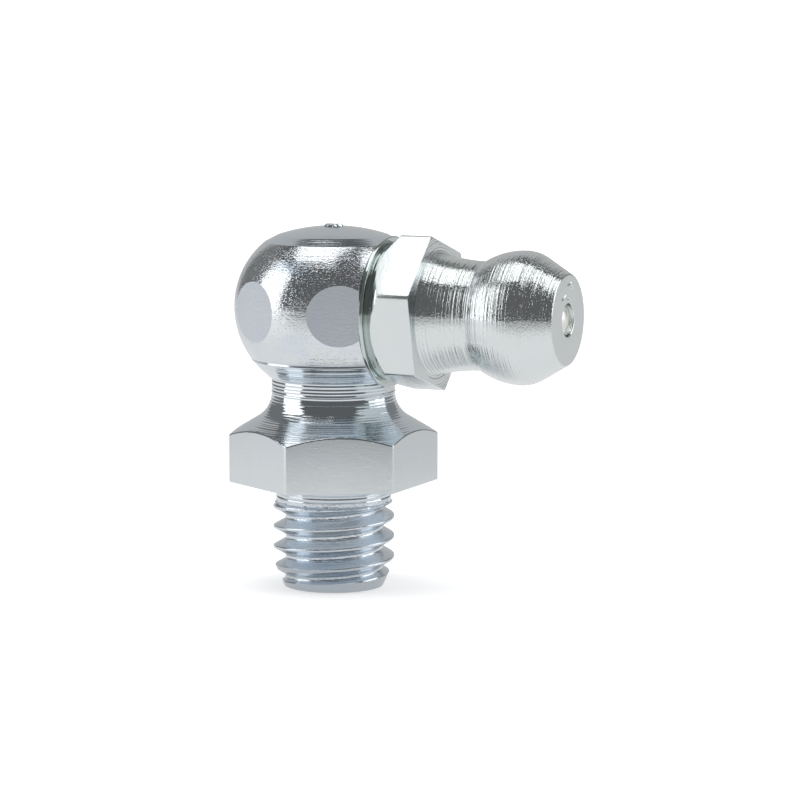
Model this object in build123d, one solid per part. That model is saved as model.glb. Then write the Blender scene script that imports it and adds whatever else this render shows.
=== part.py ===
from build123d import *
import os
from math import cos, radians, sin, sqrt, tan

# A right-angled grease nipple with an M6 x 1 thread, in millimetres.
# The thread axis is Z and the hexagon seats at z = 0, with the threaded shank below.
# The head points along +X. It is a turned insert, pressed into the ball of the elbow,
# and holds a check ball that a spring keeps on its seat.

# Threaded shank. The thread's form is left off: the shank has its outside diameter
# from its pointed end up to the seat.
thread_diameter = 6.0
shank_length = 5.2
point_diameter = 4.9
point_length = 1.25

# Wrench hexagon, turned to a cone above. It sits slightly turned to the head's axis.
hexagon_across_flats = 9.0
hexagon_corner_radius = 0.2
hexagon_corner_height = 2.35
hexagon_turn = -2.0
cone_slope = 31.0

# Neck between the cone and the ball
neck_diameter = 6.1
neck_fillet = 1.0

# Ball of the elbow: two zones of a sphere, and a flatter crown. The zones meet at the ball's
# middle. The lower one's centre is above it by the offset, and the upper one's below it.
ball_diameter = 9.76
ball_middle_height = 8.65
ball_zone_offset = 0.32
ball_across_flats = 9.2
crown_diameter = 6.6
crown_radius = 7.9
pip_diameter = 1.0
pip_height = 0.12

# Grease ways through the elbow, and the flat that the head is pressed against
head_axis_height = 8.55
spot_face_offset = 3.0
spot_face_diameter = 8.0
cross_bore_diameter = 5.0
cross_bore_reach = 1.2
drill_point_angle = 118.0
channel_diameter = 2.0
channel_countersink = 0.3

# Head insert: lengths run along +X from the spot face.
shank_of_head_length = 1.6
collar_diameter = 7.4
collar_thickness = 0.18
groove_diameter = 6.6
groove_width = 0.12
head_across_flats = 6.9
head_corner_radius = 0.25
head_hexagon_turn = 13.0
head_hexagon_end = 2.6
head_chamfer_angle = 41.5
throat_base_diameter = 6.0
throat_diameter = 5.3
head_diameter = 6.5
head_rear_radius = 3.7
head_front_radius = 1.75
head_cone_angle = 31.0
face_diameter = 4.4
head_length = 9.35

# Check valve inside the head
orifice_diameter = 1.6
orifice_land = 0.35
valve_seat_angle = 45.0
valve_bore_diameter = 2.7
check_ball_diameter = 2.3
seat_clearance = 0.02
lip_thickness = 0.5
lip_bore_diameter = 1.4
spring_wire_diameter = 0.3
spring_wire_sides = 8
spring_coil_diameter = 1.75
spring_turns = 5
spring_clearance = 0.03

# Room that a cutting tool takes past the metal
overshoot = 1.0

head_front = spot_face_offset + head_length
head_axis = Axis((0, 0, head_axis_height), (1, 0, 0))
along_head = Plane(origin=(0, 0, head_axis_height), x_dir=(1, 0, 0), z_dir=(0, -1, 0))


def arc(centre, radius, start, end):
    """The shorter arc from start to end on the circle round centre."""
    middle = Vector(*start) + Vector(*end) - Vector(*centre) * 2
    middle = Vector(*centre) + middle.normalized() * radius
    return ThreePointArc(start, (middle.X, middle.Y), end)


def turned(outline, plane, axis):
    """A closed outline of lines and arcs, turned about an axis in its plane."""
    return revolve(plane * make_face(outline), axis)


def hexagon(across_flats, corner_radius, turn):
    """A hexagon with rounded corners. One flat faces +X before it is turned."""
    shape = RegularPolygon(across_flats / 2, 6, major_radius=False, rotation=30 + turn)
    return fillet(shape.vertices(), corner_radius)


def waste_round_hexagon(shape, radius, height):
    """What a milling cutter takes off a bar to leave the hexagon standing."""
    return extrude(Circle(radius) - shape, height)


def corner_reach(across_flats):
    """From the axis of a hexagon bar to its corners."""
    return across_flats / 2 / cos(radians(30))


def elbow_outline():
    """Half the elbow's section, out from the thread axis: (radius, height)."""
    thread_r = thread_diameter / 2
    neck_r = neck_diameter / 2
    ball_r = ball_diameter / 2
    crown_r = crown_diameter / 2
    pip_r = pip_diameter / 2
    bar_r = corner_reach(hexagon_across_flats)
    rise = tan(radians(cone_slope))
    cone_at_neck = hexagon_corner_height + (bar_r - neck_r) * rise

    lower_centre = (0, ball_middle_height + ball_zone_offset)
    upper_centre = (0, ball_middle_height - ball_zone_offset)
    middle_r = sqrt(ball_r**2 - ball_zone_offset**2)
    neck_top = lower_centre[1] - sqrt(ball_r**2 - neck_r**2)
    crown_foot = upper_centre[1] + sqrt(ball_r**2 - crown_r**2)
    crown_centre = (0, crown_foot - sqrt(crown_radius**2 - crown_r**2))
    crown_at_pip = crown_centre[1] + sqrt(crown_radius**2 - pip_r**2)
    top = crown_centre[1] + crown_radius + pip_height

    shank = Polyline(
        (0, -shank_length),
        (point_diameter / 2, -shank_length),
        (thread_r, point_length - shank_length),
        (thread_r, 0),
        (bar_r, 0),
        (bar_r, hexagon_corner_height),
    )
    neck = FilletPolyline(
        (bar_r, hexagon_corner_height),
        (neck_r, cone_at_neck),
        (neck_r, neck_top),
        radius=neck_fillet,
    )
    ball = [
        arc(lower_centre, ball_r, (neck_r, neck_top), (middle_r, ball_middle_height)),
        arc(upper_centre, ball_r, (middle_r, ball_middle_height), (crown_r, crown_foot)),
        arc(crown_centre, crown_radius, (crown_r, crown_foot), (pip_r, crown_at_pip)),
    ]
    pip = Polyline((pip_r, crown_at_pip), (pip_r, top), (0, top), (0, -shank_length))
    return Curve() + [shank, neck, *ball, pip]


def wrench_flats():
    """Waste round the wrench hexagon, from its seat to just past where the cone clears it."""
    corner = corner_reach(hexagon_across_flats)
    shape = hexagon(hexagon_across_flats, hexagon_corner_radius, hexagon_turn)
    cone_rise = (corner - hexagon_across_flats / 2) * tan(radians(cone_slope))
    height = hexagon_corner_height + cone_rise + overshoot
    return waste_round_hexagon(shape, corner + overshoot, height)


def ball_flats():
    """What the bar's flats leave off the ball at its widest."""
    shape = hexagon(ball_across_flats, hexagon_corner_radius, hexagon_turn)
    foot = ball_middle_height - ball_diameter / 2
    return Pos(0, 0, foot) * waste_round_hexagon(shape, ball_diameter, ball_diameter)


def across_head(distance):
    """The plane across the head's axis at a distance from the thread axis."""
    return Plane(origin=(distance, 0, head_axis_height), x_dir=(0, 1, 0), z_dir=(1, 0, 0))


def spot_face():
    """The cutter that faces the ball where the head is pressed in."""
    return extrude(across_head(spot_face_offset) * Circle(spot_face_diameter / 2), ball_diameter)


def grease_ways():
    """The blind cross bore for the head, and the channel that comes up to it."""
    bore_r = cross_bore_diameter / 2
    tip = cross_bore_reach + bore_r / tan(radians(drill_point_angle / 2))
    cross_bore = turned(
        Polyline(
            (-tip, 0),
            (-cross_bore_reach, bore_r),
            (spot_face_offset + overshoot, bore_r),
            (spot_face_offset + overshoot, 0),
            close=True,
        ),
        along_head,
        head_axis,
    )
    channel_r = channel_diameter / 2
    mouth_r = channel_r + channel_countersink
    channel = turned(
        Polyline(
            (0, -shank_length - overshoot),
            (mouth_r + overshoot, -shank_length - overshoot),
            (channel_r, channel_countersink - shank_length),
            (channel_r, head_axis_height),
            (0, head_axis_height),
            close=True,
        ),
        Plane.XZ,
        Axis.Z,
    )
    return cross_bore + channel


def make_elbow_body():
    """The elbow, turned from hexagon bar in one piece."""
    blank = turned(elbow_outline(), Plane.XZ, Axis.Z)
    return blank - wrench_flats() - ball_flats() - spot_face() - grease_ways()


def head_outline():
    """Half the head's section: (distance from the thread axis, radius)."""
    collar_front = spot_face_offset + collar_thickness
    groove_front = collar_front + groove_width
    hexagon_front = spot_face_offset + head_hexagon_end
    bar_r = corner_reach(head_across_flats)
    groove_r = groove_diameter / 2
    chamfer_end = groove_front + (bar_r - groove_r) / tan(radians(head_chamfer_angle))
    head_r = head_diameter / 2
    throat_r = throat_diameter / 2
    face_r = face_diameter / 2
    slope = radians(head_cone_angle)

    cone_start_r = head_r - head_front_radius * (1 - cos(slope))
    cone_start = head_front - (cone_start_r - face_r) / tan(slope)
    widest = cone_start - head_front_radius * sin(slope)
    rear_centre = (widest, head_r - head_rear_radius)
    front_centre = (widest, head_r - head_front_radius)
    throat_end = widest - sqrt(head_rear_radius**2 - (throat_r - rear_centre[1]) ** 2)

    back = Polyline(
        (spot_face_offset - shank_of_head_length, 0),
        (spot_face_offset - shank_of_head_length, cross_bore_diameter / 2),
        (spot_face_offset, cross_bore_diameter / 2),
        (spot_face_offset, collar_diameter / 2),
        (collar_front, collar_diameter / 2),
        (collar_front, groove_r),
        (groove_front, groove_r),
        (chamfer_end, bar_r),
        (hexagon_front, bar_r),
        (hexagon_front, throat_base_diameter / 2),
    )
    throat_start = (hexagon_front, throat_base_diameter / 2)
    throat = TangentArc((throat_end, throat_r), throat_start, tangent=(-1, 0))
    head = [
        arc(rear_centre, head_rear_radius, (throat_end, throat_r), (widest, head_r)),
        arc(front_centre, head_front_radius, (widest, head_r), (cone_start, cone_start_r)),
    ]
    front = Polyline(
        (cone_start, cone_start_r),
        (head_front, face_r),
        (head_front, 0),
        (spot_face_offset - shank_of_head_length, 0),
    )
    return Curve() + [back, throat, *head, front]


def head_flats():
    """Waste round the head's hexagon."""
    outside = corner_reach(head_across_flats) + overshoot
    start = spot_face_offset + collar_thickness + groove_width / 2
    length = spot_face_offset + head_hexagon_end - start
    shape = hexagon(head_across_flats, head_corner_radius, head_hexagon_turn)
    return across_head(start) * waste_round_hexagon(shape, outside, length)


def valve_bore():
    """The way through the head: a crimped lip, the spring's bore, the seat and the orifice."""
    rear = spot_face_offset - shank_of_head_length
    bore_r = valve_bore_diameter / 2
    orifice_r = orifice_diameter / 2
    seat_front = head_front - orifice_land
    seat_rear = seat_front - (bore_r - orifice_r) / tan(radians(valve_seat_angle))
    section = Polyline(
        (rear - overshoot, 0),
        (rear - overshoot, lip_bore_diameter / 2),
        (rear + lip_thickness, lip_bore_diameter / 2),
        (rear + lip_thickness, bore_r),
        (seat_rear, bore_r),
        (seat_front, orifice_r),
        (head_front + overshoot, orifice_r),
        (head_front + overshoot, 0),
        close=True,
    )
    return turned(section, along_head, head_axis)


def make_nipple_head():
    """The head, turned from hexagon bar and pressed into the elbow."""
    return turned(head_outline(), along_head, head_axis) - head_flats() - valve_bore()


def check_ball_place():
    """The ball's centre along X, just off its conical seat."""
    ball_r = check_ball_diameter / 2
    angle = radians(valve_seat_angle)
    cone_apex = head_front - orifice_land + orifice_diameter / 2 / tan(angle)
    return cone_apex - ball_r / sin(angle) - seat_clearance


def make_check_ball():
    """The steel ball that closes the orifice."""
    return Pos(check_ball_place(), 0, head_axis_height) * Sphere(check_ball_diameter / 2)


def make_spring():
    """The coil spring between the crimped lip and the ball. Its wire is nearly round."""
    wire_r = spring_wire_diameter / 2
    coil_r = spring_coil_diameter / 2
    reach = check_ball_diameter / 2 + wire_r
    behind_ball = sqrt(reach**2 - coil_r**2) + spring_clearance
    start = spot_face_offset - shank_of_head_length + lip_thickness + wire_r + spring_clearance
    length = check_ball_place() - behind_ball - start
    coil = Helix(length / spring_turns, length, coil_r)
    section = RegularPolygon(wire_r, spring_wire_sides)
    wire = sweep((coil ^ 0) * section, coil, is_frenet=True)
    return Pos(start, 0, head_axis_height) * Rot(0, 90, 0) * wire


os.makedirs("parts", exist_ok=True)
export_step(make_elbow_body(), "parts/elbow_body.step")
export_step(make_nipple_head(), "parts/nipple_head.step")
export_step(make_check_ball(), "parts/check_ball.step")
export_step(make_spring(), "parts/spring.step")
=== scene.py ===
from math import acos, asin, atan, atan2, ceil, cos, degrees, pi, radians, sin, sqrt, tan

import bmesh
import bpy
from mathutils import Matrix, Vector


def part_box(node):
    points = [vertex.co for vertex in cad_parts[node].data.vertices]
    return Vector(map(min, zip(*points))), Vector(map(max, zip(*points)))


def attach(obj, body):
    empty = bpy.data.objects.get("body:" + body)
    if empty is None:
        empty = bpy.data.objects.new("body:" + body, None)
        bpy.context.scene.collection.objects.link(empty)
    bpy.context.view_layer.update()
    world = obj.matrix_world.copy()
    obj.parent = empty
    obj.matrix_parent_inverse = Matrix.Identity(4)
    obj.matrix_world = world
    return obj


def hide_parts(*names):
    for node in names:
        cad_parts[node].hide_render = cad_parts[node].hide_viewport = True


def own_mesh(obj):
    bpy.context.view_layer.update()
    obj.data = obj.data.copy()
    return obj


# The looks of a right-angled grease nipple: turned from steel bar, bright zinc plated.
# Lengths are in millimetres up to the point where a mesh is made, and angles in degrees.
MM = 0.001

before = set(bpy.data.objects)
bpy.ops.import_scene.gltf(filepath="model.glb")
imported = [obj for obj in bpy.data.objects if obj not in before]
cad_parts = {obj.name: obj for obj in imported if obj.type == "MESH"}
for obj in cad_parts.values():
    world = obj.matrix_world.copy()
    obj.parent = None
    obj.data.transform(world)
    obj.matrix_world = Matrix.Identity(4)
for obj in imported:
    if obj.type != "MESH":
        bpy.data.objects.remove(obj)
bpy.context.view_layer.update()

# Elbow: heights along the thread axis, from the seat
thread_radius = 3.0
thread_root = 2.4
thread_pitch = 1.0
thread_crest_height = -1.805
thread_crest_rounding = 0.07
thread_root_rounding = 0.1
# Turns of the thread's profile, from under the shank's end to above its top
thread_turns = (-5, 4)
relief_radius = 2.85
relief_foot = -0.9
first_crest = -1.02
groove_start = -0.85
groove_full = -1.35
shank_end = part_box("elbow_body")[0].z / MM
point_radius = 2.45
point_height = -3.95
end_rounding = 0.06

wrench_flats = 9.0
wrench_corner_radius = 0.2
wrench_corner_height = 2.35
wrench_turn = -2.0
cone_slope = 31.0
edge_rounding = 0.05
arc_rounding = 0.10

neck_radius = 3.05
neck_fillet = 1.5
neck_rings_end = 5.3
underside_rings_end = 6.2
score_angle = 2.0
ball_radius = 4.87
ball_height = 8.7
ball_lower_arc = 4.35
ball_upper_arc = 4.1
bar_flats = 9.2
crown_foot = 11.88
rim_outside = 3.34
rim_inside = 2.72
crown_arc = 8.73
crown_top = 12.65
pip_radius = 0.46

# Ways through the elbow
head_height = 8.55
spot_face = 3.0
spot_face_radius = 4.0
cross_bore_radius = 2.5
cross_bore_end = -1.2
drill_point_angle = 118.0
channel_radius = 1.0
channel_countersink = 0.3

# Head: distances along its axis, from the thread axis
head_rear = 1.4
collar_radius = 3.7
collar_front = 3.18
groove_radius = 3.3
groove_front = 3.3
head_flats = 6.9
head_corner_radius = 0.25
head_turn = 13.0
head_recess = 0.9
head_chamfer = 41.5
hexagon_front = 5.6
throat_base = 3.0
throat_radius = 2.65
head_radius = 3.25
head_rear_arc = 3.7
head_front_arc = 1.75
head_cone_angle = 31.0
face_radius = 2.2
head_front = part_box("nipple_head")[1].x / MM
orifice_radius = 0.8
orifice_land = 0.35
valve_bore_radius = 1.35
valve_seat_angle = 45.0
lip_radius = 0.7
lip_front = 1.9
# Dents in the face: (aside, up, half width, half height, depth, turn)
head_nicks = (
    (-0.60, 1.14, 0.36, 0.10, 0.05, 22),
    (-0.05, 1.04, 0.34, 0.08, 0.05, -14),
    (0.15, 1.74, 0.34, 0.09, 0.05, 12),
    (0.50, 1.56, 0.22, 0.08, 0.05, -35),
)

# Rings that the lathe's tool leaves on each stretch: (depth, feed)
cone_rings = (0.009, 0.15)
neck_rings = (0.024, 0.165)
underside_rings = (0.008, 0.13)
score_rings = (0.038, 0.15)
rim_rings = (0.0025, 0.14)
relief_rings = (0.018, 0.16)
chamfer_rings = (0.042, 0.3)
shoulder_rings = (0.007, 0.15)
throat_rings = (0.011, 0.17)
bulb_rings = (0.007, 0.17)

# Roundings of the head's corners, in the order of its section
collar_roundings = (0.1, 0, 0.03, 0.05, 0.02, 0.02)
hexagon_roundings = (0.04, 0.04)
face_roundings = (0.12, 0.05, 0.02, 0, 0, 0)

# Steps that draw each stretch. Where a hexagon cuts a stretch short, its points are ring_gap apart.
ring_gap = 0.0375
cone_steps, chamfer_steps, shoulder_steps = 45, 28, 26
relief_steps, neck_steps, neck_arc_steps, underside_steps = 26, 26, 5, 32
score_steps, belly_steps, upper_steps, rim_steps, crown_steps = 12, 22, 24, 24, 18
throat_steps, rear_steps, front_steps, head_cone_steps = 64, 60, 28, 30
# The most degrees in a step of an arc: in small roundings, on the hexagon and in the neck's fillet
rounding_coarse, hexagon_coarse, fillet_coarse = 14.0, 10.0, 1.45
# Columns of points round each body
flat_columns, corner_columns = 30, 5
thread_columns, bore_columns, channel_columns = 200, 96, 64

# Valve spring
spring_wire_radius = 0.15
spring_coil_radius = 0.875
spring_turns = 5.0

# Points that are nearer than the first are one point, and edges shorter than the second are dropped
weld_when_made = (0.00002, 0.00001)
weld_after_cuts = (0.0005, 0.0001)


# ---------------------------------------------------------------- outlines

def arc(centre, radius, start, end, steps):
    """Points on a circle from one angle to another, in degrees."""
    turn = [radians(start + (end - start) * k / steps) for k in range(steps + 1)]
    return [(centre[0] + radius * cos(a), centre[1] + radius * sin(a)) for a in turn]


def rounded(points, radii, coarse=rounding_coarse):
    """A line of points with arcs in place of its corners, in steps of up to coarse degrees."""
    line = [points[0]]
    for before, corner, after, radius in zip(points, points[1:], points[2:], radii):
        middle = Vector(corner)
        back = (Vector(before) - middle).normalized()
        ahead = (Vector(after) - middle).normalized()
        half = back.angle(ahead) / 2
        if radius == 0 or half > radians(89.9):
            line.append(corner)
            continue
        centre = middle + (back + ahead).normalized() * radius / sin(half)
        start = (middle + back * radius / tan(half) - centre).normalized()
        end = (middle + ahead * radius / tan(half) - centre).normalized()
        steps = ceil((180 - 2 * half * 180 / pi) / coarse)
        line += [tuple(centre + radius * start.slerp(end, k / steps)) for k in range(steps + 1)]
    line.append(points[-1])
    return line


def angle_of(point, centre):
    """The direction of a point from a centre, in degrees."""
    return degrees(atan2(point[1] - centre[1], point[0] - centre[0]))


def even(start, end, steps):
    """Points along a straight line, without its ends."""
    return [tuple(Vector(start).lerp(Vector(end), k / steps)) for k in range(1, steps)]


def spaced(fixed, far, steps):
    """Points along a straight line, ring_gap apart from its fixed end. What is left over of them
    stays at its far end."""
    start = Vector(fixed)
    length = (Vector(far) - start).length
    ahead = (Vector(far) - start) / length
    return [tuple(start + ahead * k * ring_gap) if k * ring_gap < length else far
            for k in range(1, steps)]


def flat_half_angle(flats, corner_radius):
    """How far a hexagon's flat reaches to each side, seen from the axis."""
    apothem = flats / 2
    return atan((apothem - corner_radius) * tan(pi / 6) / apothem)


def hexagon_reach(angle, flats, corner_radius):
    """From the axis to a hexagon's outline. One flat faces angle 0."""
    off_flat = abs((angle + pi / 6) % (pi / 3) - pi / 6)
    if off_flat <= flat_half_angle(flats, corner_radius):
        return flats / 2 / cos(off_flat)
    centre = (flats / 2 - corner_radius) / cos(pi / 6)
    off_corner = pi / 6 - off_flat
    return centre * cos(off_corner) + sqrt(corner_radius**2 - (centre * sin(off_corner)) ** 2)


def hexagon_angles(flats, corner_radius, turn, per_flat, per_corner):
    """Angles all round, even along the flats and close together on the rounded corners."""
    edge = flat_half_angle(flats, corner_radius)
    angles = []
    for side in range(6):
        middle = radians(turn) + side * pi / 3
        angles += [middle - edge + 2 * edge * k / per_flat for k in range(per_flat)]
        angles += [middle + edge + (pi / 3 - 2 * edge) * k / per_corner for k in range(per_corner)]
    return angles


# ---------------------------------------------------------------- meshes

def about_thread(radius, height, angle):
    """A point from its place in a section through the thread axis."""
    return (radius * cos(angle), radius * sin(angle), height)


def about_head(radius, distance, angle):
    """A point from its place in a section through the head's axis."""
    return (distance, radius * cos(angle), head_height + radius * sin(angle))


def skin(bm, columns, closed, slots=None):
    """Four-sided faces between columns of points. slots gives the material of each row of faces."""
    verts = [[bm.verts.new(Vector(point) * MM) for point in column] for column in columns]
    neighbours = zip(verts, verts[1:] + verts[:1]) if closed else zip(verts, verts[1:])
    for left, right in neighbours:
        for row in range(len(left) - 1):
            face = bm.faces.new((left[row], right[row], right[row + 1], left[row + 1]))
            face.material_index = slots[row] if slots else 0


def linked(bm, name):
    """An object in the scene, with the mesh that was built."""
    mesh = bpy.data.meshes.new(name)
    bm.to_mesh(mesh)
    bm.free()
    piece = bpy.data.objects.new(name, mesh)
    bpy.context.scene.collection.objects.link(piece)
    return piece


def weld(bm, nearest, shortest):
    """Makes one point of those that are nearer than nearest, and drops edges shorter than shortest."""
    bmesh.ops.remove_doubles(bm, verts=bm.verts, dist=nearest * MM)
    bmesh.ops.dissolve_degenerate(bm, edges=bm.edges, dist=shortest * MM)


def finished(bm, name):
    """An object whose like points are merged and whose faces look outwards."""
    weld(bm, *weld_when_made)
    bmesh.ops.recalc_face_normals(bm, faces=bm.faces)
    return linked(bm, name)


def turned(name, section, angles, place, slots=None):
    """A closed body: section(angle) gives its points in the half-plane at that angle."""
    bm = bmesh.new()
    columns = [[place(r, along, angle) for r, along in section(angle)] for angle in angles]
    skin(bm, columns, closed=True, slots=slots)
    return finished(bm, name)


def round_angles(count):
    """Even angles all round."""
    return [2 * pi * k / count for k in range(count)]


def cut(piece, cutter):
    """Takes the cutter's shape out of the piece and deletes the cutter."""
    boolean = piece.modifiers.new("cut", "BOOLEAN")
    boolean.object = cutter
    boolean.operation = "DIFFERENCE"
    boolean.solver = "EXACT"
    boolean.material_mode = "TRANSFER"
    settle(piece)
    bpy.data.objects.remove(cutter)


def close_seams(piece):
    """Joins the points that cuts leave side by side."""
    bm = bmesh.new()
    bm.from_mesh(piece.data)
    weld(bm, *weld_after_cuts)
    bm.to_mesh(piece.data)
    bm.free()


def settle(piece):
    """Applies the piece's modifiers."""
    bpy.context.view_layer.update()
    seen = piece.evaluated_get(bpy.context.evaluated_depsgraph_get())
    mesh = bpy.data.meshes.new_from_object(seen)
    piece.modifiers.clear()
    piece.data = mesh


def shade(piece, crease=17.0):
    """Smooth shading with creases kept, and flats that stay flat beside small roundings."""
    piece.data.shade_smooth()
    piece.data.set_sharp_from_angle(angle=radians(crease))
    normals = piece.modifiers.new("normals", "WEIGHTED_NORMAL")
    normals.keep_sharp = True
    settle(piece)


# ---------------------------------------------------------------- elbow

# The numbers of the elbow's materials. The head has the first two as well.
TURNED, DRAWN, THREAD, BALL_FLAT, RINGED = range(5)


def tool_marks(place, depth, feed):
    """Rings that a lathe tool leaves: depth off the surface at a place along its path.
    Two slower waves keep one ring from being like the next."""
    beat = asin(sin(2 * pi * place / feed)) * 2 / pi
    slow = sin(2 * pi * place / (feed * 1.63) + 1.0)
    drift = sin(2 * pi * place / (feed * 2.71) + 2.3)
    return depth * (0.6 * beat + 0.25 * slow + 0.15 * drift)


def ringed(line, rings, backwards=False):
    """A line of points moved across itself by the tool's rings, and left as it is at both ends.
    backwards counts the rings from the end of the line."""
    depth, feed = rings
    if backwards:
        return ringed(line[::-1], (-depth, feed))[::-1]
    result = [line[0]]
    travelled = 0.0
    for before, point, after in zip(line, line[1:], line[2:]):
        travelled += (Vector(point) - Vector(before)).length
        along = (Vector(after) - Vector(before)).normalized()
        offset = 0 if point == after else tool_marks(travelled, depth, feed)
        result.append((point[0] + along.y * offset, point[1] - along.x * offset))
    return result + [line[-1]]


def elbow_section(angle):
    """The elbow from its seat to its top, at an angle round the thread axis."""
    side = hexagon_reach(angle - radians(wrench_turn), wrench_flats, wrench_corner_radius)
    corner = wrench_flats / 2 / cos(pi / 6)
    rise = tan(radians(cone_slope))
    cone_foot = wrench_corner_height + (corner - side) * rise
    cone_at_neck = wrench_corner_height + (corner - neck_radius) * rise
    hexagon = rounded(
        [(relief_radius, 0), (side, 0), (side, cone_foot), (neck_radius, cone_at_neck)],
        [edge_rounding, arc_rounding],
        hexagon_coarse,
    )[1:-1]
    cone = rounded(
        [hexagon[-1], (neck_radius, cone_at_neck), (neck_radius, neck_rings_end)],
        [neck_fillet],
        fillet_coarse,
    )[:-1]
    cone = [cone[0]] + spaced(cone[1], cone[0], cone_steps)[::-1] + cone[1:]
    cone = ringed(cone, cone_rings, backwards=True)
    return hexagon[:-1] + cone[:-1] + ball_section(cone[-1], angle)


def ball_section(foot, angle):
    """The neck, the ball and the crown, from the top of the neck's fillet."""
    lower_centre = (ball_radius - ball_lower_arc, ball_height)
    upper_centre = (ball_radius - ball_upper_arc, ball_height)
    neck_top = ball_height - sqrt(ball_lower_arc**2 - (neck_radius - lower_centre[0]) ** 2)
    neck_angle = angle_of((neck_radius, neck_top), lower_centre)
    neck_end = degrees(asin((neck_rings_end - ball_height) / ball_lower_arc))
    underside_end = degrees(asin((underside_rings_end - ball_height) / ball_lower_arc))
    score_start = underside_end - score_angle
    neck = [foot] + even(foot, (neck_radius, neck_top), neck_steps)
    neck += arc(lower_centre, ball_lower_arc, neck_angle, neck_end, neck_arc_steps)
    underside = arc(lower_centre, ball_lower_arc, neck_end, score_start, underside_steps)
    score = arc(lower_centre, ball_lower_arc, score_start, underside_end, score_steps)
    belly = arc(lower_centre, ball_lower_arc, underside_end, 0, belly_steps)

    rim_angle = degrees(acos((rim_outside - upper_centre[0]) / ball_upper_arc))
    crown_start, crown_end = (degrees(acos(r / crown_arc)) for r in (rim_inside, pip_radius))
    upper = arc(upper_centre, ball_upper_arc, 0, rim_angle, upper_steps)
    crown = arc((0, crown_top - crown_arc), crown_arc, crown_start, crown_end, crown_steps)
    rim = [upper[-1]] + even(upper[-1], crown[0], rim_steps) + [crown[0]]

    lower = ringed(neck, neck_rings)[:-1] + ringed(underside, underside_rings)[:-1]
    lower += ringed(score, score_rings)[:-1] + belly[:-1]
    top = ringed(rim, rim_rings)[:-1] + crown + pip_section(crown[-1][1], angle)
    return lower + upper[:-1] + top


def pip_section(foot, angle):
    """The small torn tip that is left where the bar was parted off."""
    wave = 1 + 0.10 * sin(3 * angle + 0.6) + 0.05 * sin(7 * angle)
    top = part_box("elbow_body")[1].z / MM
    shoulder = 0.72 * pip_radius * wave
    dip = 0.03 * sin(2 * angle + 1.2)
    return [
        (0.97 * pip_radius * wave, foot + 0.03),
        (shoulder + 0.05, foot + 0.09 + dip),
        (shoulder, top - 0.02 + 0.6 * min(dip, 0)),
        (0.6 * shoulder, top - 0.035 + 0.5 * min(dip, 0)),
        (0.3 * shoulder, top - 0.05),
        (0, top - 0.045),
    ]


def smooth_step(value, start, end):
    """0 before start, 1 after end, and a smooth way between them."""
    t = max(0.0, min(1.0, (value - start) / (end - start)))
    return t * t * (3 - 2 * t)


def thread_profile():
    """One pitch of the thread: (offset from the crest, radius)."""
    crest = thread_pitch / 16
    root = crest + (thread_radius - thread_root) * tan(radians(30))
    half = thread_pitch / 2
    corners = [(-half, thread_root), (-root, thread_root), (-crest, thread_radius),
               (crest, thread_radius), (root, thread_root), (half, thread_root)]
    line = rounded(corners, [thread_root_rounding, thread_crest_rounding,
                             thread_crest_rounding, thread_root_rounding])
    full = []
    for start, end in zip(line, line[1:]):
        long_step = (Vector(end) - Vector(start)).length > 0.15
        full += [start] + (even(start, end, 5) if long_step else [])
    return full


def thread_reach(profile, offset):
    """The thread's radius at an offset from the crest, between the profile's points."""
    offset = (offset + thread_pitch / 2) % thread_pitch - thread_pitch / 2
    for (start, r), (end, next_r) in zip(profile, profile[1:]):
        if offset <= end:
            return r + (next_r - r) * (offset - start) / (end - start)
    return profile[-1][1]


def shank_radius(height, profile_radius):
    """The thread's radius at a height, faded out into the relief and cut back to the point."""
    fullness = smooth_step(height, relief_foot, first_crest)
    blank = relief_radius + (thread_radius - relief_radius) * fullness
    depth = (thread_radius - profile_radius) * smooth_step(height, groove_start, groove_full)
    taper = (thread_radius - point_radius) / (point_height - shank_end)
    return min(blank - depth, point_radius + (height - shank_end) * taper)


def shank_columns():
    """Columns of points up the shank, from its end to the seat. The rows climb with the thread."""
    top, bottom = groove_start + 0.1, shank_end + end_rounding
    profile = thread_profile()
    relief_end = (relief_radius, 0)
    columns = []
    for k in range(thread_columns + 1):
        angle = 2 * pi * k / thread_columns
        climb = thread_crest_height + thread_pitch * k / thread_columns
        column = []
        for turn in range(*thread_turns):
            for offset, _ in profile:
                height = max(bottom, min(top, climb + turn * thread_pitch + offset))
                radius = thread_reach(profile, height - climb)
                column.append((shank_radius(height, radius), height))
        end = column[0][0]
        point = [(0, shank_end), (end - end_rounding, shank_end)]
        point += [(end - 0.3 * end_rounding, shank_end + 0.3 * end_rounding)]
        relief = [column[-1]] + even(column[-1], relief_end, relief_steps) + [relief_end]
        column += ringed(relief, relief_rings)[1:]
        columns.append([about_thread(r, h, angle) for r, h in point + column])
    return columns


def ring_fill(bm, outer, inner):
    """Fills the flat ring between two loops of points."""
    edges = []
    for loop in (outer, inner):
        verts = [bm.verts.new(Vector(point) * MM) for point in loop]
        edges += [bm.edges.new(pair) for pair in zip(verts, verts[1:] + verts[:1])]
    made = bmesh.ops.triangle_fill(bm, edges=edges, use_beauty=True)
    for face in made["geom"]:
        if isinstance(face, bmesh.types.BMFace):
            face.material_index = TURNED


def elbow_slot(start, end):
    """The material between two points of the elbow's section. Only a wrench flat is over 1 mm long."""
    if end[1] - start[1] > 1:
        return DRAWN
    return TURNED if underside_rings_end < start[1] < crown_foot else RINGED


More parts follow.
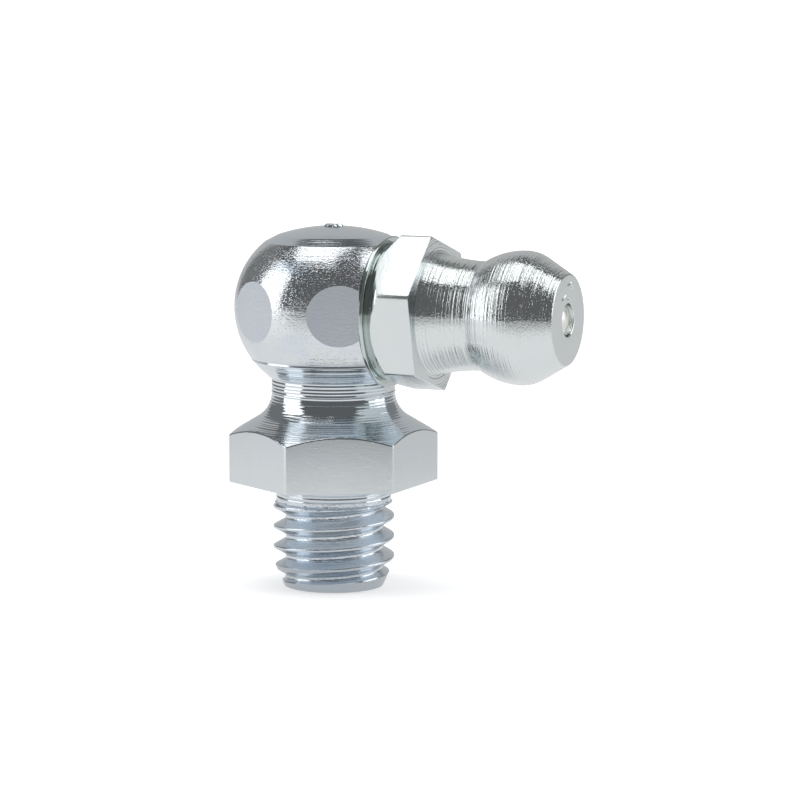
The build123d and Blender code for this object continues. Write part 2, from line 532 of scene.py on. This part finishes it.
def make_elbow(materials):
    """The elbow in one piece: shank, hexagon, neck and ball, then the cuts into the ball."""
    angles = hexagon_angles(wrench_flats, wrench_corner_radius, wrench_turn, flat_columns, corner_columns)
    sections = [elbow_section(angle) for angle in angles]
    upper = [[about_thread(r, h, a) for r, h in s] for s, a in zip(sections, angles)]
    upper_slots = [elbow_slot(*ends) for ends in zip(sections[0], sections[0][1:])]
    shank = shank_columns()
    shank_slots = [THREAD] * (len(shank[0]) - 1 - relief_steps) + [RINGED] * relief_steps

    bm = bmesh.new()
    skin(bm, upper, closed=True, slots=upper_slots)
    skin(bm, shank, closed=False, slots=shank_slots)
    ring_fill(bm, [column[0] for column in upper], [column[-1] for column in shank[:-1]])
    elbow = finished(bm, "elbow")
    for material in materials:
        elbow.data.materials.append(material)
    for cutter, slot in elbow_cutters():
        cutter.data.materials.append(materials[slot])
        cut(elbow, cutter)
    close_seams(elbow)
    shade(elbow)
    return elbow


def elbow_cutters():
    """What is milled and drilled out of the elbow, with the material each leaves."""
    low, high, outside = ball_height - ball_lower_arc, ball_height + 4, ball_radius + 1

    def flats_section(angle):
        inner = hexagon_reach(angle - radians(wrench_turn), bar_flats, wrench_corner_radius)
        return [(inner, low), (outside, low), (outside, high), (inner, high), (inner, low)]

    def spot_section(angle):
        return [(0, spot_face), (spot_face_radius, spot_face), (spot_face_radius, outside), (0, outside)]

    def bore_section(angle):
        point = cross_bore_radius / tan(radians(drill_point_angle / 2))
        return [(0, cross_bore_end - point), (cross_bore_radius, cross_bore_end),
                (cross_bore_radius, outside), (0, outside)]

    def channel_section(angle):
        mouth = channel_radius + channel_countersink
        return [(0, shank_end - 1), (mouth + 1, shank_end - 1),
                (channel_radius, shank_end + channel_countersink),
                (channel_radius, head_height), (0, head_height)]

    flat_angles = hexagon_angles(bar_flats, wrench_corner_radius, wrench_turn, 4, 4)
    yield turned("flats_cutter", flats_section, flat_angles, about_thread), BALL_FLAT
    yield turned("spot_cutter", spot_section, round_angles(bore_columns), about_head), TURNED
    yield turned("bore_cutter", bore_section, round_angles(bore_columns), about_head), TURNED
    yield turned("channel_cutter", channel_section, round_angles(channel_columns), about_thread), TURNED


# ---------------------------------------------------------------- head

# The numbers of the head's other materials
FACED, RECESSED = 2, 3


def collar_and_hexagon(side):
    """The head's back, from the lip to the throat. side is how far out the hexagon reaches."""
    chamfer_start = (groove_radius, groove_front)
    corner = (side, groove_front + (side - groove_radius) / tan(radians(head_chamfer)))
    collar = rounded(
        [(lip_radius, head_rear), (cross_bore_radius, head_rear), (cross_bore_radius, spot_face),
         (collar_radius, spot_face), (collar_radius, collar_front), (groove_radius, collar_front),
         chamfer_start, corner],
        collar_roundings,
    )
    hexagon = rounded(
        [chamfer_start, corner, (side, hexagon_front), (throat_base, hexagon_front)],
        hexagon_roundings,
    )
    chamfer = [collar[-2]] + spaced(collar[-2], hexagon[1], chamfer_steps) + [hexagon[1]]
    shoulder = spaced(hexagon[-1], hexagon[-2], shoulder_steps)[::-1]
    shoulder = [hexagon[-2]] + shoulder + [hexagon[-1]]
    back = collar[:-2] + ringed(chamfer, chamfer_rings) + hexagon[2:-2]
    return back + ringed(shoulder, shoulder_rings, backwards=True)


def throat_and_bulb():
    """The head's outside from the hexagon to the face: a hollow arc, two round ones and a cone."""
    slope = radians(head_cone_angle)
    cone_start_r = head_radius - head_front_arc * (1 - cos(slope))
    cone_start = head_front - (cone_start_r - face_radius) / tan(slope)
    widest = cone_start - head_front_arc * sin(slope)
    rear_centre = (head_radius - head_rear_arc, widest)
    front_centre = (head_radius - head_front_arc, widest)
    throat_end = widest - sqrt(head_rear_arc**2 - (throat_radius - rear_centre[0]) ** 2)
    rear_angle = angle_of((throat_radius, throat_end), rear_centre)

    drop = throat_base - throat_radius
    run = throat_end - hexagon_front
    throat_arc = (run**2 + drop**2) / (2 * drop)
    throat_centre = (throat_radius + throat_arc, throat_end)
    throat_turn = degrees(atan(run / (throat_arc - drop)))
    throat = arc(throat_centre, throat_arc, 180 + throat_turn, 180, throat_steps)
    rear = arc(rear_centre, head_rear_arc, rear_angle, 0, rear_steps)
    front = arc(front_centre, head_front_arc, 0, head_cone_angle, front_steps)
    bulb = rear + front[1:] + even(front[-1], (face_radius, head_front), head_cone_steps)
    return ringed(throat, throat_rings)[:-1] + ringed(bulb, bulb_rings)


def face_and_bore(bulb_end):
    """The face, the orifice, the valve's seat and its bore, from the end of the bulb to the lip."""
    seat_front = head_front - orifice_land
    seat_rear = seat_front - (valve_bore_radius - orifice_radius) / tan(radians(valve_seat_angle))
    return rounded(
        [bulb_end, (face_radius, head_front), (orifice_radius, head_front),
         (orifice_radius, seat_front), (valve_bore_radius, seat_rear), (valve_bore_radius, lip_front),
         (lip_radius, lip_front), (lip_radius, head_rear)],
        face_roundings,
    )[1:-1]


def head_section(angle):
    """The head's whole section, at an angle round its axis."""
    back = collar_and_hexagon(hexagon_reach(angle - radians(head_turn), head_flats, head_corner_radius))
    outside = throat_and_bulb()
    return back[:-1] + outside + face_and_bore(outside[-1]) + [back[0]]


def head_slot(start, end):
    """The material between two points of the head's section. Only a flat is over 1 mm long out there."""
    run, radius, slack = end[1] - start[1], (start[0] + end[0]) / 2, 0.001
    if abs(run) < slack and radius > orifice_radius and start[1] > head_front - slack:
        return FACED
    # The collar and groove down in the recess take the darker zinc of painted shade
    if radius > cross_bore_radius and start[1] < spot_face + head_recess:
        return RECESSED
    return DRAWN if run > 1 and radius > throat_base else TURNED


def nicks_cutter():
    """The small dents that a grease gun leaves beside the orifice, as flattened balls."""
    bm = bmesh.new()
    ahead = 0.02
    for aside, up, half_width, half_height, depth, turn in head_nicks:
        place = Vector((head_front + ahead, aside, head_height + up)) * MM
        size = Vector((depth + ahead, half_width, half_height)) * MM
        matrix = Matrix.LocRotScale(place, Matrix.Rotation(radians(turn), 3, "X"), size)
        bmesh.ops.create_icosphere(bm, subdivisions=3, radius=1.0, matrix=matrix)
    return finished(bm, "nicks_cutter")


def make_head(materials):
    """The head insert, turned from hexagon bar."""
    angles = hexagon_angles(head_flats, head_corner_radius, head_turn, flat_columns, corner_columns)
    section = head_section(angles[0])
    slots = [head_slot(*ends) for ends in zip(section, section[1:])]
    head = turned("head", head_section, angles, about_head, slots)
    for material in materials:
        head.data.materials.append(material)
    cutter = nicks_cutter()
    cutter.data.materials.append(materials[FACED])
    cut(head, cutter)
    close_seams(head)
    shade(head)
    return head


# ---------------------------------------------------------------- valve

def make_ball(material):
    """The check ball, in place of its faceted solid."""
    low, high = (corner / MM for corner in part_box("check_ball"))
    centre = (low + high) / 2
    radius = (high.x - low.x) / 2
    bm = bmesh.new()
    bmesh.ops.create_icosphere(bm, subdivisions=5, radius=radius * MM)
    bmesh.ops.translate(bm, verts=bm.verts, vec=centre * MM)
    ball = finished(bm, "valve_ball")
    ball.data.materials.append(material)
    ball.data.shade_smooth()
    return ball


def make_spring(material):
    """A coil of round wire between the lip and the ball."""
    low, high = (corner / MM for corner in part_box("spring"))
    start, end = low.x + spring_wire_radius, high.x - spring_wire_radius
    per_turn, around = 40, 14
    count = int(spring_turns * per_turn)
    bm = bmesh.new()
    loops = []
    for k in range(count + 1):
        turn = 2 * pi * k / per_turn
        out = Vector((0, cos(turn), sin(turn)))
        climb = (end - start) / (spring_turns * 2 * pi * spring_coil_radius)
        ahead = Vector((climb, -sin(turn), cos(turn)))
        side = ahead.normalized().cross(out)
        middle = Vector((start + (end - start) * k / count, 0, head_height)) + out * spring_coil_radius
        ways = [out * cos(a) + side * sin(a) for a in round_angles(around)]
        loops.append([middle + spring_wire_radius * way for way in ways])
    verts = [[bm.verts.new(point * MM) for point in loop] for loop in loops]
    for this, following in zip(verts, verts[1:]):
        for k in range(around):
            bm.faces.new((this[k], this[k - 1], following[k - 1], following[k]))
    bm.faces.new(verts[0])
    bm.faces.new(verts[-1])
    spring = finished(bm, "valve_spring")
    spring.data.materials.append(material)
    shade(spring, crease=40.0)
    return spring


# ---------------------------------------------------------------- materials

# The passivation's faint colours on each surface, by place in the clouds. In the recess they are also
# darker, as painted shade.
BLUE = (0.64, 0.72, 0.80)
VIOLET = (0.70, 0.73, 0.79)
GREEN = (0.70, 0.76, 0.75)
PLAIN = (0.73, 0.765, 0.78)
turned_tints = ((0.30, BLUE), (0.45, PLAIN), (0.58, VIOLET), (0.72, GREEN))
neck_tints = ((0.30, (0.64, 0.71, 0.77)), (0.50, (0.67, 0.73, 0.78)), (0.70, (0.70, 0.74, 0.77)))
bar_tints = ((0.30, (0.69, 0.74, 0.75)), (0.50, (0.71, 0.75, 0.77)), (0.70, (0.70, 0.74, 0.78)))
ball_flat_tints = ((0.35, (0.66, 0.72, 0.80)), (0.65, (0.70, 0.74, 0.79)))
thread_tints = ((0.30, (0.61, 0.69, 0.78)), (0.50, (0.66, 0.72, 0.78)), (0.70, (0.69, 0.74, 0.78)))
# Greenish passivation tint, darkened as painted shade down in the recess
recess_tints_with_painted_shade = ((0.30, (0.57, 0.63, 0.615)), (0.70, (0.64, 0.69, 0.68)))
head_tints = ((0.30, (0.72, 0.78, 0.76)), (0.50, PLAIN), (0.70, (0.73, 0.77, 0.77)))

# The metals' patterns: (scale per millimetre across the tool's path, the same along it, detail)
clouds = (0.5, 0.35, 3.0)
streaks = (6.0, 0.6, 3.0)
mottle_relief = (2.2, 1.2, 2.0)
ring_relief = (7.0, 0.02, 3.0)
grain_relief = (12.0, 4.5, 2.0)
dimple_relief = (14.0, 9.0, 1.0)
steel_grain = (3.0, 3.0, 3.0)
steel_grain_depth = 0.001
streak_roughness, relief_roughness = 0.6, 0.6
dimple_edge, dimple_softness = 0.58, 0.07


def new_material(name):
    """A material with its nodes and links."""
    material = bpy.data.materials.new(name)
    material.use_nodes = True
    return material, material.node_tree.nodes, material.node_tree.links


def math_node(nodes, links, operation, *values):
    """A Math node fed with sockets or numbers."""
    node = nodes.new("ShaderNodeMath")
    node.operation = operation
    for socket, value in zip(node.inputs, values):
        if isinstance(value, (int, float)):
            socket.default_value = value
        else:
            links.new(value, socket)
    return node.outputs[0]


def hypotenuse(nodes, links, one, other):
    """The length that two lengths at right angles span."""
    squares = math_node(nodes, links, "ADD", math_node(nodes, links, "MULTIPLY", one, one),
                        math_node(nodes, links, "MULTIPLY", other, other))
    return math_node(nodes, links, "SQRT", squares)


def turned_coordinates(nodes, links, axis, across, around):
    """Where a point lies on a surface turned about an axis, as (vector, w) for 4-D noise.
    across and around are its scales across the tool's path and along it."""
    place = nodes.new("ShaderNodeTexCoord").outputs["Object"]
    split = nodes.new("ShaderNodeSeparateXYZ")
    links.new(place, split.inputs[0])
    x, y, z = split.outputs
    if axis == "X":
        z = math_node(nodes, links, "SUBTRACT", z, head_height * MM)
        along, one, other = x, y, z
    else:
        along, one, other = z, x, y
    radius = hypotenuse(nodes, links, one, other)
    join = nodes.new("ShaderNodeCombineXYZ")
    links.new(math_node(nodes, links, "MULTIPLY", along, across / MM), join.inputs[0])
    links.new(math_node(nodes, links, "MULTIPLY", radius, across / MM), join.inputs[1])
    links.new(math_node(nodes, links, "MULTIPLY", one, around / MM), join.inputs[2])
    return join.outputs[0], math_node(nodes, links, "MULTIPLY", other, around / MM)


def pattern(nodes, links, axis, kind, roughness=0.5):
    """Noise of a kind on a surface turned about an axis. roughness is the share of its fine detail."""
    across, around, detail = kind
    place, w = turned_coordinates(nodes, links, axis, across, around)
    node = nodes.new("ShaderNodeTexNoise")
    node.noise_dimensions = "4D"
    node.inputs["Scale"].default_value = 1.0
    node.inputs["Detail"].default_value = detail
    node.inputs["Roughness"].default_value = roughness
    links.new(place, node.inputs["Vector"])
    links.new(w, node.inputs["W"])
    return node.outputs["Fac"]


def ramp(nodes, links, value, stops):
    """A colour ramp: stops are (place, colour)."""
    node = nodes.new("ShaderNodeValToRGB")
    for k, (place, colour) in enumerate(stops):
        element = node.color_ramp.elements[k] if k < 2 else node.color_ramp.elements.new(place)
        element.position = place
        element.color = (*colour, 1)
    links.new(value, node.inputs[0])
    return node.outputs[0]


def spread(nodes, links, value, low, high):
    """Turns 0.3 to 0.7, where noise mostly lies, into low to high."""
    node = nodes.new("ShaderNodeMapRange")
    links.new(value, node.inputs["Value"])
    node.inputs["From Min"].default_value = 0.3
    node.inputs["From Max"].default_value = 0.7
    node.inputs["To Min"].default_value = low
    node.inputs["To Max"].default_value = high
    return node.outputs[0]


def bump(nodes, links, height, depth, normal=None):
    """Relief of a depth in millimetres, on top of an earlier one."""
    node = nodes.new("ShaderNodeBump")
    node.inputs["Strength"].default_value = 1.0
    node.inputs["Distance"].default_value = depth * MM
    links.new(height, node.inputs["Height"])
    if normal:
        links.new(normal, node.inputs["Normal"])
    return node.outputs[0]


def zinc(name, axis, tints, roughness, grain=0.0, rings=0.0, mottle=0.0, dimples=0.0):
    """Bright zinc over turned steel. tints are its faint colours and roughness its range.
    grain, rings, mottle and dimples are the depths of its relief, in millimetres."""
    material, nodes, links = new_material(name)
    shader = nodes["Principled BSDF"]
    shader.inputs["Metallic"].default_value = 1.0
    clouded = pattern(nodes, links, axis, clouds)
    links.new(ramp(nodes, links, clouded, tints), shader.inputs["Base Color"])
    streaked = pattern(nodes, links, axis, streaks, streak_roughness)
    links.new(spread(nodes, links, streaked, *roughness), shader.inputs["Roughness"])
    normal = None
    for depth, kind in ((mottle, mottle_relief), (rings, ring_relief), (grain, grain_relief)):
        if depth:
            relief = pattern(nodes, links, axis, kind, relief_roughness)
            normal = bump(nodes, links, relief, depth, normal)
    if dimples:
        relief = pattern(nodes, links, axis, dimple_relief)
        hollows = step(nodes, links, relief, dimple_edge, dimple_softness)
        normal = bump(nodes, links, hollows, -dimples, normal)
    if normal:
        links.new(normal, shader.inputs["Normal"])
    return material


def polished_steel(name, colour, roughness):
    """Bare steel with a fine grain, and the range of its roughness."""
    material, nodes, links = new_material(name)
    shader = nodes["Principled BSDF"]
    shader.inputs["Metallic"].default_value = 1.0
    shader.inputs["Base Color"].default_value = (*colour, 1)
    fine = pattern(nodes, links, "X", steel_grain)
    links.new(spread(nodes, links, fine, *roughness), shader.inputs["Roughness"])
    links.new(bump(nodes, links, fine, steel_grain_depth), shader.inputs["Normal"])
    return material


# ---------------------------------------------------------------- the studio

# The camera: degrees round the part and up, then millimetres from it and off to the right and up
camera_azimuth = 23.43
camera_elevation = 7.74
camera_distance = 180.0
camera_offset = (3.281, 3.989)
camera_lens_px = 3636.0
image_px = 800.0
sensor_mm = 36.0

# The softboxes: (name, degrees to the camera's right, degrees up, distance, ends across, ends upward).
# Distances and ends are in metres here, and so are the distances that follow.
lamp_level = 1.6
softboxes = (
    ("left_softbox", -83.5, 0, 0.3625, (-0.130, 0.130), (0.0, 0.390)),
    ("right_softbox", 91, 15, 0.40, (-0.155, 0.135), (-0.107, 0.495)),
    ("top_softbox", -23, 90, 0.40, (-0.222, 0.052), (-0.152, 0.150)),
)

# How strongly the white background lights the part
background_light = 0.65

# The room round the part: (from, to, lowest, highest, softness, grey level), the first two in
# degrees to the camera's right and the next two above the floor
room_radius = 1.5
room_level = 0.135
room = (
    (107, 150, -2, 50, 5, 0.25),
    (148, 200, -2, 47, 4, 0.52),
    (-200, -148, -2, 47, 4, 0.52),
    (-150, -98, -2, 45, 5, 0.20),
)

# The table as the metal mirrors it, with its light and shade painted: (distance from the part, grey
# level) in
# front and elsewhere, then its sides: (from, to, grey level), in degrees to the camera's right. The sides
# start at a distance.
table_reach = 1.4
# Painted shadow of the part where the levels are lowest next to it, and the lamps' light painted as a
# bright ring that fades further out
table_light_in_front = ((0.0, 0.50), (0.004, 0.60), (0.010, 0.90), (0.035, 0.90), (0.06, 0.70), (0.10, 0.52))
table_light_aside = ((0.0, 0.50), (0.004, 0.62), (0.010, 0.88), (0.035, 0.85), (0.06, 0.78), (0.3, 0.60))
# Painted light and shade by side: lighter to the left, darker to the right
table_sides = ((-98, -50, 1.0), (85, 145, 0.68))
table_front_half, table_front_softness, table_side_softness = 60, 25, 8
table_sides_start, table_sides_blend = 0.03, 0.01

# How much of its own white the floor shows to the camera: (distance from the part, level). It rises
# with distance as the lamps' light falls, so that the floor meets the white background.
floor_reach = 3.0
floor_white = 0.93
floor_lift = ((0.0, 0.26), (0.08, 0.26), (0.40, 0.44))


def camera_axes():
    """The camera's right, up and backward directions."""
    a, e = radians(camera_azimuth), radians(camera_elevation)
    back = Vector((sin(a) * cos(e), -cos(a) * cos(e), sin(e)))
    right = Vector((cos(a), sin(a), 0))
    return right, back.cross(right), back


def add_camera():
    """The camera that takes the picture."""
    right, up, back = camera_axes()
    data = bpy.data.cameras.new("camera")
    data.sensor_width = sensor_mm
    data.lens = camera_lens_px / image_px * sensor_mm
    data.clip_start = 0.01
    data.clip_end = 20
    camera = bpy.data.objects.new("camera", data)
    place = right * camera_offset[0] + up * camera_offset[1] + back * camera_distance
    camera.location = place * MM
    camera.rotation_euler = back.to_track_quat("Z", "Y").to_euler()
    bpy.context.scene.collection.objects.link(camera)
    bpy.context.scene.camera = camera


def studio_direction(to_right, up):
    """A direction from the part, in degrees to the right of the camera and above the floor."""
    a = radians(camera_azimuth)
    toward = Vector((sin(a), -cos(a), 0))
    right = Vector((cos(a), sin(a), 0))
    level = toward * cos(radians(to_right)) + right * sin(radians(to_right))
    return level * cos(radians(up)) + Vector((0, 0, 1)) * sin(radians(up))


def add_softbox(name, to_right, up, distance, across, upward):
    """A rectangular soft light in a plane square to a direction, at a distance from the part.
    across and upward are its ends in that plane: to the right, and up or away from the camera."""
    outward = studio_direction(to_right, up)
    sideways = studio_direction(to_right + 90, 0)
    rising = outward.cross(sideways)
    middle = outward * distance + sideways * sum(across) / 2 + rising * sum(upward) / 2
    data = bpy.data.lights.new(name, "AREA")
    data.shape = "RECTANGLE"
    data.size = across[1] - across[0]
    data.size_y = upward[1] - upward[0]
    data.energy = lamp_level * pi * data.size * data.size_y
    lamp = bpy.data.objects.new(name, data)
    turn = Matrix((sideways, rising, outward)).transposed()
    lamp.matrix_world = Matrix.Translation(middle) @ turn.to_4x4()
    lamp.visible_camera = False
    bpy.context.scene.collection.objects.link(lamp)


def reflected_only(piece):
    """Keeps a stage piece for reflections: neither the camera nor the lamps' light meets it."""
    piece.visible_camera = False
    piece.visible_diffuse = False
    piece.visible_transmission = False
    piece.visible_shadow = False


def glowing(name, make_level):
    """A material that gives off the grey level that make_level builds from its nodes."""
    material, nodes, links = new_material(name)
    glow = nodes.new("ShaderNodeEmission")
    links.new(make_level(nodes, links), glow.inputs["Color"])
    links.new(glow.outputs[0], nodes["Material Output"].inputs["Surface"])
    material.cycles.emission_sampling = "NONE"
    return material


def dot(nodes, links, vector, constant):
    """How far a vector goes in a fixed direction."""
    node = nodes.new("ShaderNodeVectorMath")
    node.operation = "DOT_PRODUCT"
    links.new(vector, node.inputs[0])
    node.inputs[1].default_value = constant
    return node.outputs["Value"]


def step(nodes, links, value, edge, softness):
    """0 below an edge and 1 above it, with a soft change that reaches as far to both sides."""
    node = nodes.new("ShaderNodeMapRange")
    node.interpolation_type = "SMOOTHSTEP"
    links.new(value, node.inputs["Value"])
    node.inputs["From Min"].default_value = edge - softness
    node.inputs["From Max"].default_value = edge + softness
    return node.outputs[0]


def within(nodes, links, value, low, high, softness):
    """1 between low and high, and 0 outside."""
    above = step(nodes, links, value, low, softness)
    below = math_node(nodes, links, "SUBTRACT", 1.0, step(nodes, links, value, high, softness))
    return math_node(nodes, links, "MULTIPLY", above, below)


def blend(nodes, links, mask, under, over):
    """under where the mask is 0 and over where it is 1."""
    node = nodes.new("ShaderNodeMix")
    links.new(mask, node.inputs[0])
    for socket, value in ((node.inputs[2], under), (node.inputs[3], over)):
        if isinstance(value, float):
            socket.default_value = value
        else:
            links.new(value, socket)
    return node.outputs[0]


def bearing(nodes, links, vector):
    """Which way a vector goes from the part: toward the camera, aside, and in degrees to its right."""
    toward = dot(nodes, links, vector, studio_direction(0, 0))
    aside = dot(nodes, links, vector, studio_direction(90, 0))
    to_right = math_node(nodes, links, "ARCTAN2", aside, toward)
    return toward, aside, math_node(nodes, links, "DEGREES", to_right)


def room_grey(nodes, links):
    """The walls and the ceiling, by direction."""
    place = nodes.new("ShaderNodeTexCoord").outputs["Object"]
    unit = nodes.new("ShaderNodeVectorMath")
    unit.operation = "NORMALIZE"
    links.new(place, unit.inputs[0])
    way = unit.outputs[0]
    _, _, to_right = bearing(nodes, links, way)
    up = dot(nodes, links, way, (0, 0, 1))
    height = math_node(nodes, links, "DEGREES", math_node(nodes, links, "ARCSINE", up))
    level = room_level
    for left, right, low, high, softness, grey in room:
        across = within(nodes, links, to_right, left, right, softness)
        upright = within(nodes, links, height, low, high, softness)
        mask = math_node(nodes, links, "MULTIPLY", across, upright)
        level = blend(nodes, links, mask, level, grey)
    return level


def add_room():
    """The dim room that the metal mirrors."""
    bm = bmesh.new()
    bmesh.ops.create_icosphere(bm, subdivisions=4, radius=room_radius)
    shell = linked(bm, "room")
    shell.data.materials.append(glowing("room", room_grey))
    reflected_only(shell)


def falling(nodes, links, reach, levels):
    """A grey level that changes with distance, through the levels given."""
    result = levels[0][1]
    for (start, _), (end, grey) in zip(levels, levels[1:]):
        node = nodes.new("ShaderNodeMapRange")
        node.clamp = True
        links.new(reach, node.inputs["Value"])
        node.inputs["From Min"].default_value = start
        node.inputs["From Max"].default_value = end
        result = blend(nodes, links, node.outputs[0], result, grey)
    return result


def painted_table_light(nodes, links):
    """The table top's painted light and shade, by how far off it is and on which side."""
    place = nodes.new("ShaderNodeTexCoord").outputs["Object"]
    toward, aside, to_right = bearing(nodes, links, place)
    reach = hypotenuse(nodes, links, toward, aside)
    front = within(nodes, links, to_right, -table_front_half, table_front_half, table_front_softness)
    level = blend(nodes, links, front, falling(nodes, links, reach, table_light_aside),
                  falling(nodes, links, reach, table_light_in_front))
    beyond = step(nodes, links, reach, table_sides_start, table_sides_blend)
    for left, right, grey in table_sides:
        side = within(nodes, links, to_right, left, right, table_side_softness)
        level = blend(nodes, links, math_node(nodes, links, "MULTIPLY", side, beyond), level, grey)
    return level


def sheet(name, reach, height):
    """A level square round the thread axis."""
    bm = bmesh.new()
    corners = [(-reach, -reach), (reach, -reach), (reach, reach), (-reach, reach)]
    bm.faces.new([bm.verts.new((x, y, height)) for x, y in corners])
    return linked(bm, name)


def floor_paper():
    """Matt white, with some white of its own that only the camera sees."""
    material, nodes, links = new_material("floor")
    shader = nodes["Principled BSDF"]
    shader.inputs["Base Color"].default_value = (floor_white, floor_white, floor_white, 1)
    shader.inputs["Roughness"].default_value = 0.9
    shader.inputs["Specular IOR Level"].default_value = 0.1
    shader.inputs["Emission Color"].default_value = (1, 1, 1, 1)
    place = nodes.new("ShaderNodeTexCoord").outputs["Object"]
    reach = nodes.new("ShaderNodeVectorMath")
    reach.operation = "LENGTH"
    links.new(place, reach.inputs[0])
    lift = falling(nodes, links, reach.outputs["Value"], floor_lift)
    path = nodes.new("ShaderNodeLightPath")
    lift = math_node(nodes, links, "MULTIPLY", path.outputs["Is Camera Ray"], lift)
    links.new(lift, shader.inputs["Emission Strength"])
    material.cycles.emission_sampling = "NONE"
    return material


def add_table():
    """The white table top that the camera sees, and the one that the metal mirrors, with its light and
    shade painted.
    """
    floor = sheet("floor", floor_reach, shank_end * MM)
    floor.data.materials.append(floor_paper())
    floor.visible_glossy = False
    mirrored = sheet("mirrored_floor", table_reach, shank_end * MM)
    mirrored.data.materials.append(glowing("mirrored_floor", painted_table_light))
    reflected_only(mirrored)


def add_world():
    """White where the camera or a reflection sees it, and softer as a light."""
    world = bpy.data.worlds.new("studio")
    world.use_nodes = True
    nodes, links = world.node_tree.nodes, world.node_tree.links
    background = nodes["Background"]
    background.inputs["Color"].default_value = (1, 1, 1, 1)
    path = nodes.new("ShaderNodeLightPath")
    seen = path.outputs["Is Camera Ray"]
    seen = math_node(nodes, links, "MAXIMUM", seen, path.outputs["Is Glossy Ray"])
    seen = math_node(nodes, links, "MAXIMUM", seen, path.outputs["Is Transmission Ray"])
    strength = nodes.new("ShaderNodeMapRange")
    links.new(seen, strength.inputs["Value"])
    strength.inputs["To Min"].default_value = background_light
    strength.inputs["To Max"].default_value = 1.0
    links.new(strength.outputs[0], background.inputs["Strength"])
    bpy.context.scene.world = world


# ---------------------------------------------------------------- the scene

add_camera()
add_world()
add_room()
add_table()
for softbox in softboxes:
    add_softbox(*softbox)

# In the order of their places: TURNED, DRAWN, THREAD, BALL_FLAT, RINGED
elbow_zincs = [
    zinc("turned_zinc", "Z", turned_tints, (0.06, 0.12), grain=0.011, rings=0.012, dimples=0.005),
    zinc("drawn_zinc", "Z", bar_tints, (0.26, 0.34), grain=0.004),
    zinc("thread_zinc", "Z", thread_tints, (0.07, 0.16), grain=0.009, rings=0.014, dimples=0.005),
    zinc("flat_zinc", "Z", ball_flat_tints, (0.24, 0.32), grain=0.003),
    zinc("ringed_zinc", "Z", neck_tints, (0.06, 0.12), grain=0.002, rings=0.016),
]
# TURNED, DRAWN, FACED, RECESSED
head_zincs = [
    zinc("head_zinc", "X", head_tints, (0.06, 0.11), grain=0.008, rings=0.050, dimples=0.004),
    zinc("head_bar_zinc", "X", head_tints, (0.20, 0.28), grain=0.004),
    zinc("face_zinc", "X", head_tints, (0.20, 0.28), grain=0.006, mottle=0.006),
    # Darker zinc for the head down in the recess: painted shade
    zinc("recess_zinc_with_painted_shade", "X", recess_tints_with_painted_shade, (0.08, 0.14), grain=0.004),
]

elbow = make_elbow(elbow_zincs)
head = make_head(head_zincs)
ball = make_ball(polished_steel("ball_steel", (0.92, 0.92, 0.89), (0.34, 0.42)))
spring = make_spring(polished_steel("spring_steel", (0.50, 0.50, 0.51), (0.20, 0.32)))

for piece, node, slot in (
    (elbow, "elbow_body", "zinc_plated_steel"),
    (head, "nipple_head", "zinc_plated_steel"),
    (ball, "check_ball", "ball_steel"),
    (spring, "spring", "spring_steel"),
):
    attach(piece, "check_ball" if node == "check_ball" else "nipple")
    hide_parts(node)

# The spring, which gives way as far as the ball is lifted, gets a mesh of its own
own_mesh(spring)

bpy.context.scene.view_settings.view_transform = "Standard"
